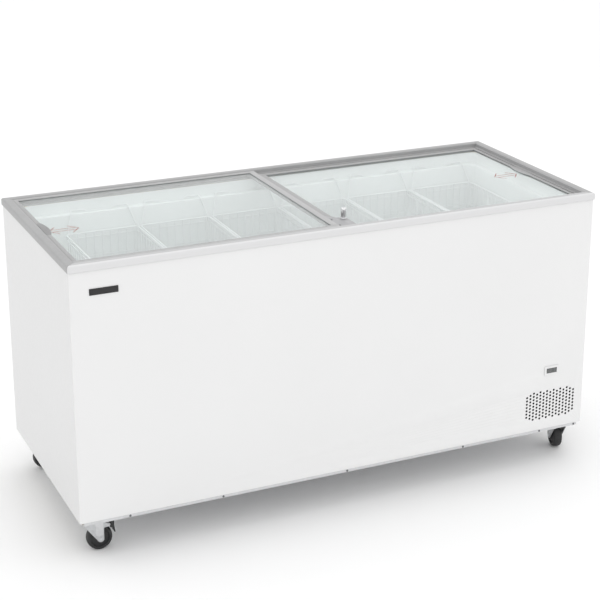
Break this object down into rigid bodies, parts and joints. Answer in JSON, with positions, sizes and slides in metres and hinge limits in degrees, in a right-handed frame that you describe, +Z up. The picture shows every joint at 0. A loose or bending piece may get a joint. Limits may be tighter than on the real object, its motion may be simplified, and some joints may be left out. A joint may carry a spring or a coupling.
{
  "type": "chest freezer",
  "caption": "Long, low display freezer on castors: insulated white cabinet, two sliding glass lids in a grey frame, hanging wire baskets and a machine compartment.",
  "frame": {"origin": "on the floor under the middle of the cabinet", "axes": "+X along the front towards the machine compartment, +Y from the front to the back, +Z up"},
  "size_m": [1.503, 0.63, 0.8178],
  "materials": {
    "front_enamel": "smooth white powder coat, satin",
    "cabinet_enamel": "light grey-white powder coat, satin",
    "galvanised": "galvanised sheet with a faint spangle",
    "liner_enamel": "white coated liner sheet, semi-gloss",
    "foam": "rigid foam, matt",
    "front_rail": "light grey extrusion, satin",
    "grey_profile": "mid-grey extruded plastic",
    "lid_glass": "clear tempered glass with a green edge",
    "lock_plate_steel": "grey pressed steel",
    "chrome": "polished plating",
    "basket_coating": "white dipped wire",
    "tyre_rubber": "black tread on a dark hub",
    "black_plastic": "black moulded plastic",
    "white_plastic": "white moulded plastic",
    "display": "dark window",
    "condenser_black": "black dipped fins and tubes, matt",
    "black_enamel": "black stove enamel",
    "copper": "drawn copper, slightly dulled",
    "black_rubber": "moulded rubber"
  },
  "bodies": {
    "cabinet": {"front_panel": "front_enamel", "left_panel": "cabinet_enamel", "right_panel": "cabinet_enamel", "rear_panel": "cabinet_enamel", "rear_cover": "cabinet_enamel", "cord_gland": "black_plastic", "base_tray": "galvanised", "inner_liner": "liner_enamel", "insulation_foam": "foam", "machine_bulkhead": "galvanised", "top_rail_front": "front_rail", "top_rail_back": "grey_profile", "top_rail_left": "grey_profile", "top_rail_right": "grey_profile", "thermometer_bezel": "white_plastic", "thermometer_display": "display", "badge_plate": "black_plastic", "condenser": "condenser_black", "fan_shroud": "black_plastic", "fan_motor": "black_enamel", "compressor": "black_enamel", "discharge_pipe": "copper", "filter_drier": "copper", "evaporator_tube": "copper", "castor_plate_front_left": "galvanised", "castor_plate_front_right": "galvanised", "castor_plate_rear_left": "galvanised", "castor_plate_rear_right": "galvanised"},
    "left_lid": {"left_lid_runner_front": "grey_profile", "left_lid_runner_back": "grey_profile", "left_lid_end_grip": "grey_profile", "left_lid_meeting_rail": "grey_profile", "left_lid_glass": "lid_glass", "lock_plate": "lock_plate_steel", "lock_barrel": "chrome"},
    "lock_plug": {"lock_plug": "chrome"},
    "right_lid": {"right_lid_runner_front": "grey_profile", "right_lid_runner_back": "grey_profile", "right_lid_end_grip": "grey_profile", "right_lid_meeting_rail": "grey_profile", "right_lid_glass": "lid_glass"},
    "thermostat_knob": {"thermostat_knob": "black_plastic"},
    "drain_plug": {"drain_plug": "black_rubber"},
    "fan": {"fan_blade": "black_plastic"},
    "basket_1": {"basket_1": "basket_coating"},
    "basket_2": {"basket_2": "basket_coating"},
    "basket_3": {"basket_3": "basket_coating"},
    "basket_4": {"basket_4": "basket_coating"},
    "basket_5": {"basket_5": "basket_coating"},
    "basket_6": {"basket_6": "basket_coating"},
    "castor_front_left": {"castor_fork_front_left": "galvanised"},
    "wheel_front_left": {"castor_wheel_front_left": "tyre_rubber"},
    "pedal_front_left": {"brake_pedal_front_left": "black_plastic"},
    "castor_front_right": {"castor_fork_front_right": "galvanised"},
    "wheel_front_right": {"castor_wheel_front_right": "tyre_rubber"},
    "pedal_front_right": {"brake_pedal_front_right": "black_plastic"},
    "castor_rear_left": {"castor_fork_rear_left": "galvanised"},
    "wheel_rear_left": {"castor_wheel_rear_left": "tyre_rubber"},
    "castor_rear_right": {"castor_fork_rear_right": "galvanised"},
    "wheel_rear_right": {"castor_wheel_rear_right": "tyre_rubber"}
  },
  "joints": [
    {"name": "left_lid_slide", "type": "slide", "parent": "cabinet", "child": "left_lid", "axis": [1, 0, 0], "range_m": [0, 0.68]},
    {"name": "right_lid_slide", "type": "slide", "parent": "cabinet", "child": "right_lid", "axis": [1, 0, 0], "range_m": [-0.68, 0]},
    {"name": "lock_turn", "type": "hinge", "parent": "left_lid", "child": "lock_plug", "pos_m": [0.0275, -0.218, 0.81], "axis": [0, 0, 1], "range_deg": [0, 90]},
    {"name": "thermostat_turn", "type": "hinge", "parent": "cabinet", "child": "thermostat_knob", "pos_m": [0.54, 0.311, 0.262], "axis": [0, 1, 0], "range_deg": [-135, 135]},
    {"name": "drain_plug_lift", "type": "slide", "parent": "cabinet", "child": "drain_plug", "axis": [0, 0, 1], "range_m": [0, 0.03]},
    {"name": "fan_spin", "type": "hinge", "parent": "cabinet", "child": "fan", "pos_m": [0.641, -0.236, 0.185], "axis": [0, 1, 0], "continuous": true},
    {"name": "basket_1_lift", "type": "slide", "parent": "cabinet", "child": "basket_1", "axis": [0, 0, 1], "range_m": [0, 0.02]},
    {"name": "basket_2_lift", "type": "slide", "parent": "cabinet", "child": "basket_2", "axis": [0, 0, 1], "range_m": [0, 0.02]},
    {"name": "basket_3_lift", "type": "slide", "parent": "cabinet", "child": "basket_3", "axis": [0, 0, 1], "range_m": [0, 0.02]},
    {"name": "basket_4_lift", "type": "slide", "parent": "cabinet", "child": "basket_4", "axis": [0, 0, 1], "range_m": [0, 0.02]},
    {"name": "basket_5_lift", "type": "slide", "parent": "cabinet", "child": "basket_5", "axis": [0, 0, 1], "range_m": [0, 0.02]},
    {"name": "basket_6_lift", "type": "slide", "parent": "cabinet", "child": "basket_6", "axis": [0, 0, 1], "range_m": [0, 0.02]},
    {"name": "swivel_front_left", "type": "hinge", "parent": "cabinet", "child": "castor_front_left", "pos_m": [-0.7155, -0.256, 0.09], "axis": [0, 0, 1], "continuous": true},
    {"name": "wheel_spin_front_left", "type": "hinge", "parent": "castor_front_left", "child": "wheel_front_left", "pos_m": [-0.6845, -0.256, 0.034], "axis": [0, 1, 0], "continuous": true},
    {"name": "brake_front_left", "type": "hinge", "parent": "castor_front_left", "child": "pedal_front_left", "pos_m": [-0.664, -0.256, 0.0707], "axis": [0, 1, 0], "range_deg": [0, 7]},
    {"name": "swivel_front_right", "type": "hinge", "parent": "cabinet", "child": "castor_front_right", "pos_m": [0.7155, -0.256, 0.09], "axis": [0, 0, 1], "continuous": true},
    {"name": "wheel_spin_front_right", "type": "hinge", "parent": "castor_front_right", "child": "wheel_front_right", "pos_m": [0.723, -0.22592, 0.034], "axis": [-0.9703, 0.2419, 0], "continuous": true},
    {"name": "brake_front_right", "type": "hinge", "parent": "castor_front_right", "child": "pedal_front_right", "pos_m": [0.72796, -0.20603, 0.0707], "axis": [-0.9703, 0.2419, 0], "range_deg": [0, 7]},
    {"name": "swivel_rear_left", "type": "hinge", "parent": "cabinet", "child": "castor_rear_left", "pos_m": [-0.7155, 0.256, 0.09], "axis": [0, 0, 1], "continuous": true},
    {"name": "wheel_spin_rear_left", "type": "hinge", "parent": "castor_rear_left", "child": "wheel_rear_left", "pos_m": [-0.68462, 0.2587, 0.034], "axis": [-0.0872, 0.9962, 0], "continuous": true},
    {"name": "swivel_rear_right", "type": "hinge", "parent": "cabinet", "child": "castor_rear_right", "pos_m": [0.7155, 0.256, 0.09], "axis": [0, 0, 1], "continuous": true},
    {"name": "wheel_spin_rear_right", "type": "hinge", "parent": "castor_rear_right", "child": "wheel_rear_right", "pos_m": [0.6845, 0.256, 0.034], "axis": [0, -1, 0], "continuous": true}
  ]
}
